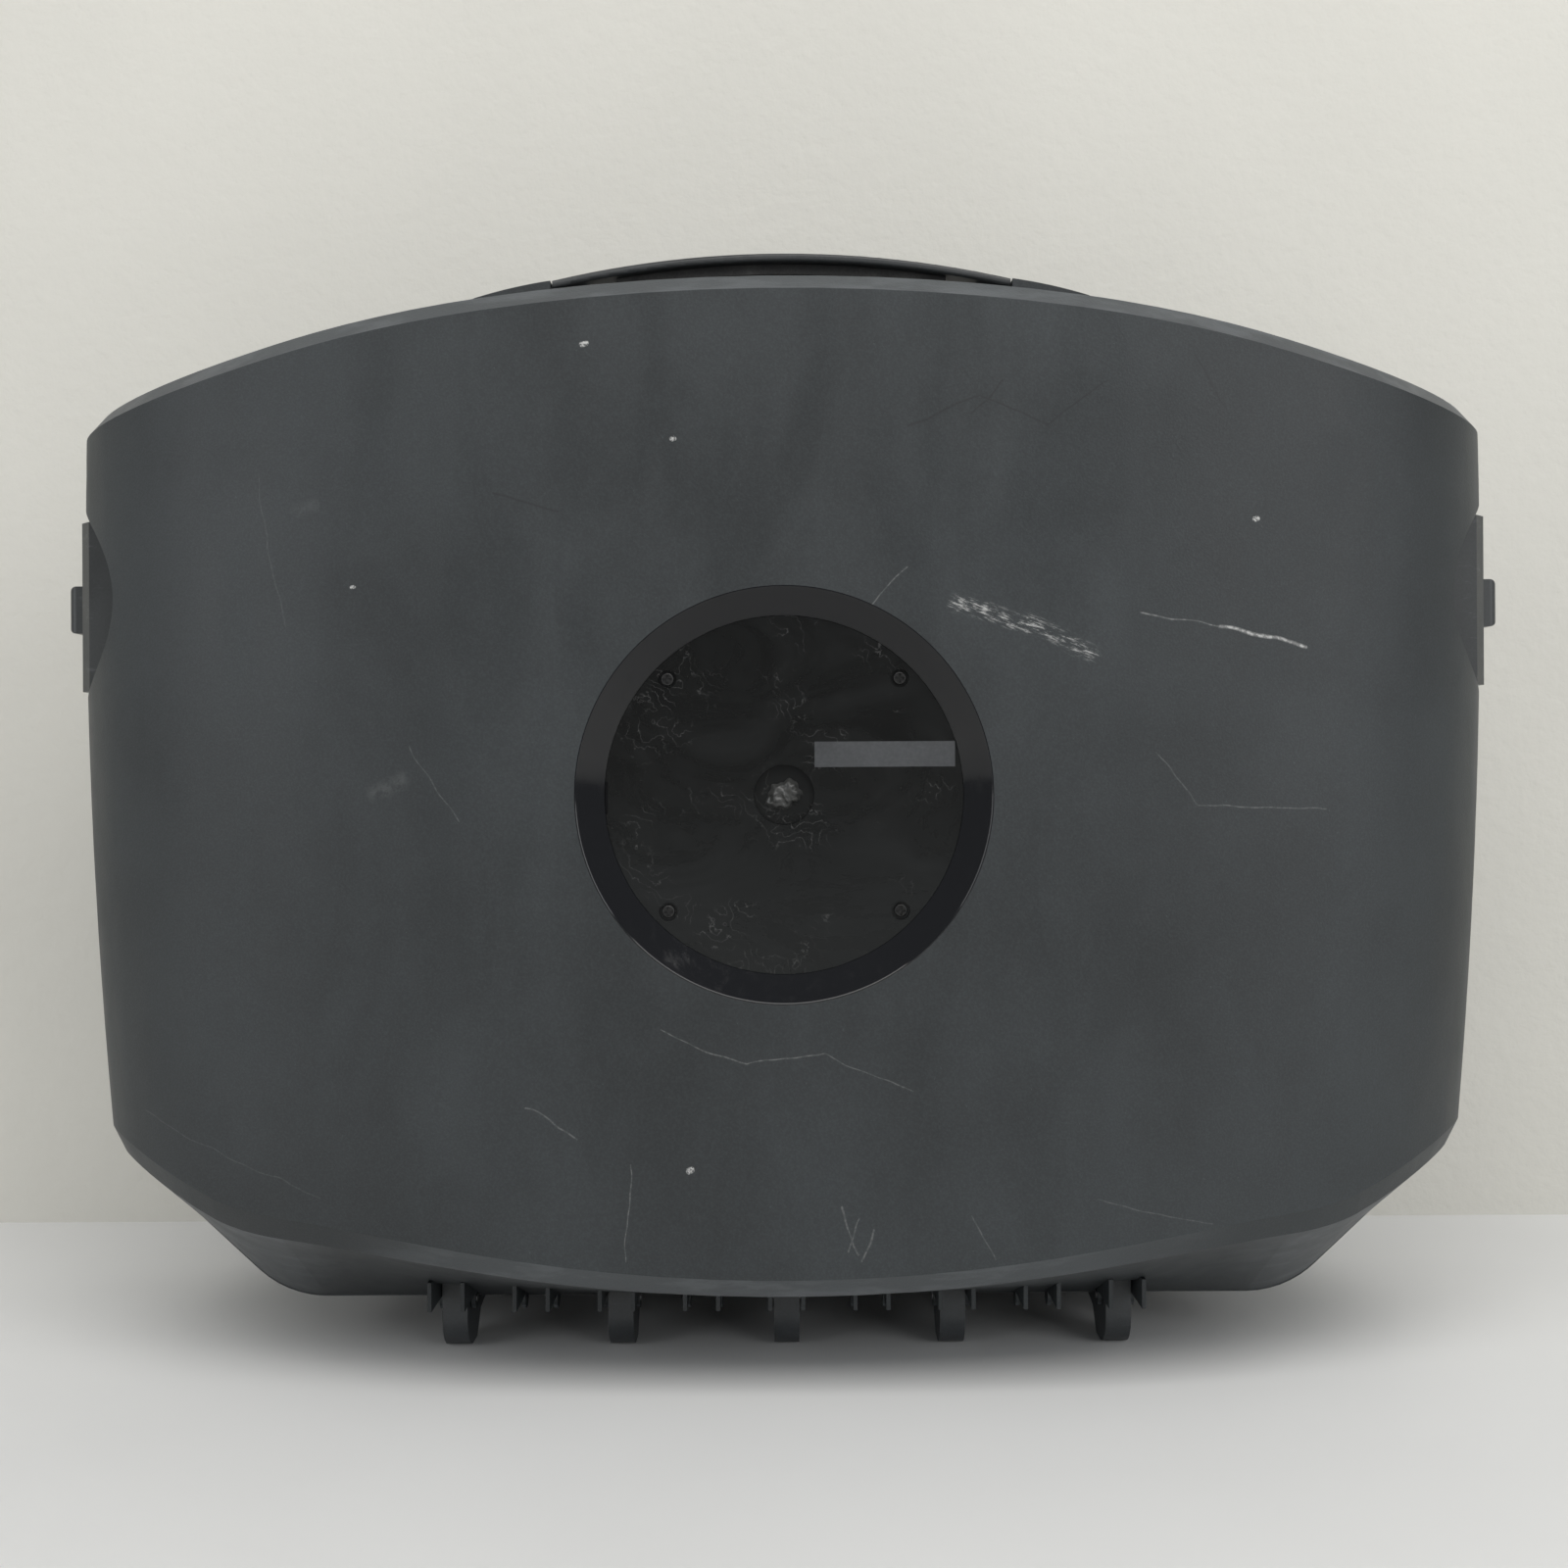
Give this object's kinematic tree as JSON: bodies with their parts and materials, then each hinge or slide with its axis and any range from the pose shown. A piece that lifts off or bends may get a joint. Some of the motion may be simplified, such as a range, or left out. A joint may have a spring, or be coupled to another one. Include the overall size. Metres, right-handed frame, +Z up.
{
  "type": "hard-shell portable speaker and monitor case",
  "caption": "Hard-shell clamshell case with a screen and stereo speakers in its hinged lid, a lifting carry handle, side latches and a dished round medallion.",
  "frame": {"origin": "bottom centre of the closed, standing case, on the surface that its hinge hooks stand on", "axes": "+X across the width to the case's left as carried, lid facing -Y, +Z up towards the carry handle"},
  "size_m": [0.5152, 0.174, 0.3917],
  "materials": {
    "shell_charcoal": "fine textured charcoal ABS, scuffed",
    "hook_plastic": "smooth moulded charcoal plastic",
    "gloss_black": "polished black",
    "satin_black": "satin black",
    "screw_steel": "black zinc screw heads",
    "glue_grey": "broken, cloudy",
    "label_grey": "blank satin label",
    "rod_steel": "plain steel rod",
    "rubber_black": "matt rubber",
    "foam_grey": "closed-cell foam",
    "strap_fabric": "woven nylon",
    "panel_metal": "folded panel back",
    "screen_glass": "dark screen face",
    "board_green": "solder-masked circuit board",
    "speaker_basket": "black basket",
    "speaker_cone": "pressed cone",
    "grille_metal": "perforated, painted",
    "key_plastic": "satin keys",
    "light_lens": "green lens"
  },
  "bodies": {
    "base": {"base_shell": "shell_charcoal", "back_foot_1": "rubber_black", "back_foot_2": "rubber_black", "back_foot_3": "rubber_black", "back_foot_4": "rubber_black", "stand_foot_left": "rubber_black", "stand_foot_right": "rubber_black", "hinge_hook_1": "hook_plastic", "hinge_hook_2": "hook_plastic", "hinge_hook_3": "hook_plastic", "hinge_hook_4": "hook_plastic", "hinge_hook_5": "hook_plastic", "foam_pad_1": "foam_grey", "foam_pad_2": "foam_grey", "foam_pad_3": "foam_grey", "strap_left": "strap_fabric", "strap_right": "strap_fabric", "power_inlet": "satin_black", "handle_mount_left": "shell_charcoal", "handle_mount_right": "shell_charcoal", "latch_housing_left": "hook_plastic", "latch_housing_right": "hook_plastic", "latch_pin_left": "rod_steel", "latch_pin_right": "rod_steel", "seam_gasket": "rubber_black"},
    "lid": {"lid_shell": "shell_charcoal", "hinge_pins": "rod_steel", "medallion_ring": "gloss_black", "medallion_plate": "satin_black", "medallion_screw_1": "screw_steel", "medallion_screw_2": "screw_steel", "medallion_screw_3": "screw_steel", "medallion_screw_4": "screw_steel", "medallion_stake": "glue_grey", "blank_label": "label_grey", "lid_frame": "satin_black", "lcd_panel": "panel_metal", "screen_glass": "screen_glass", "driver_board": "board_green", "speaker_left": "speaker_basket", "speaker_right": "speaker_basket", "speaker_cone_left": "speaker_cone", "speaker_cone_right": "speaker_cone", "speaker_grille_left": "grille_metal", "speaker_grille_right": "grille_metal", "headphone_jacks": "satin_black", "status_light": "light_lens"},
    "handle": {"handle_band": "hook_plastic", "handle_grip": "rubber_black", "handle_leg_left": "hook_plastic", "handle_leg_right": "hook_plastic"},
    "button_left": {"latch_button_left": "satin_black"},
    "button_right": {"latch_button_right": "satin_black"},
    "hook_left": {"latch_hook_left": "hook_plastic"},
    "hook_right": {"latch_hook_right": "hook_plastic"},
    "key_power": {"key_power": "key_plastic"},
    "key_source": {"key_source": "key_plastic"},
    "key_menu": {"key_menu": "key_plastic"},
    "key_down": {"key_down": "key_plastic"},
    "key_up": {"key_up": "key_plastic"}
  },
  "joints": [
    {"name": "lid_hinge", "type": "hinge", "parent": "base", "child": "lid", "pos_m": [0, -0.023, 0.0172], "axis": [1, 0, 0], "range_deg": [0, 90]},
    {"name": "handle_lift", "type": "slide", "parent": "base", "child": "handle", "axis": [0, 0, 1], "range_m": [0, 0.012]},
    {"name": "latch_press_left", "type": "slide", "parent": "base", "child": "button_left", "axis": [1, 0, 0], "range_m": [0, 0.002], "stiffness_N_per_m": 900, "springref_m": -0.001},
    {"name": "latch_rock_left", "type": "hinge", "parent": "base", "child": "hook_left", "pos_m": [-0.231, -0.018, 0.263], "axis": [0, 0, -1], "range_deg": [0, 12]},
    {"name": "latch_press_right", "type": "slide", "parent": "base", "child": "button_right", "axis": [-1, 0, 0], "range_m": [0, 0.002], "stiffness_N_per_m": 900, "springref_m": -0.001},
    {"name": "latch_rock_right", "type": "hinge", "parent": "base", "child": "hook_right", "pos_m": [0.231, -0.018, 0.263], "axis": [0, 0, 1], "range_deg": [0, 12]},
    {"name": "press_power", "type": "slide", "parent": "lid", "child": "key_power", "axis": [0, -1, 0], "range_m": [0, 0.0008], "stiffness_N_per_m": 600, "springref_m": -0.0005},
    {"name": "press_source", "type": "slide", "parent": "lid", "child": "key_source", "axis": [0, -1, 0], "range_m": [0, 0.0008], "stiffness_N_per_m": 600, "springref_m": -0.0005},
    {"name": "press_menu", "type": "slide", "parent": "lid", "child": "key_menu", "axis": [0, -1, 0], "range_m": [0, 0.0008], "stiffness_N_per_m": 600, "springref_m": -0.0005},
    {"name": "press_down", "type": "slide", "parent": "lid", "child": "key_down", "axis": [0, -1, 0], "range_m": [0, 0.0008], "stiffness_N_per_m": 600, "springref_m": -0.0005},
    {"name": "press_up", "type": "slide", "parent": "lid", "child": "key_up", "axis": [0, -1, 0], "range_m": [0, 0.0008], "stiffness_N_per_m": 600, "springref_m": -0.0005}
  ],
  "couplings": [
    {"joint": "latch_rock_left", "follows": "latch_press_left", "rad_per_m": 104.71},
    {"joint": "latch_rock_right", "follows": "latch_press_right", "rad_per_m": 104.71}
  ]
}
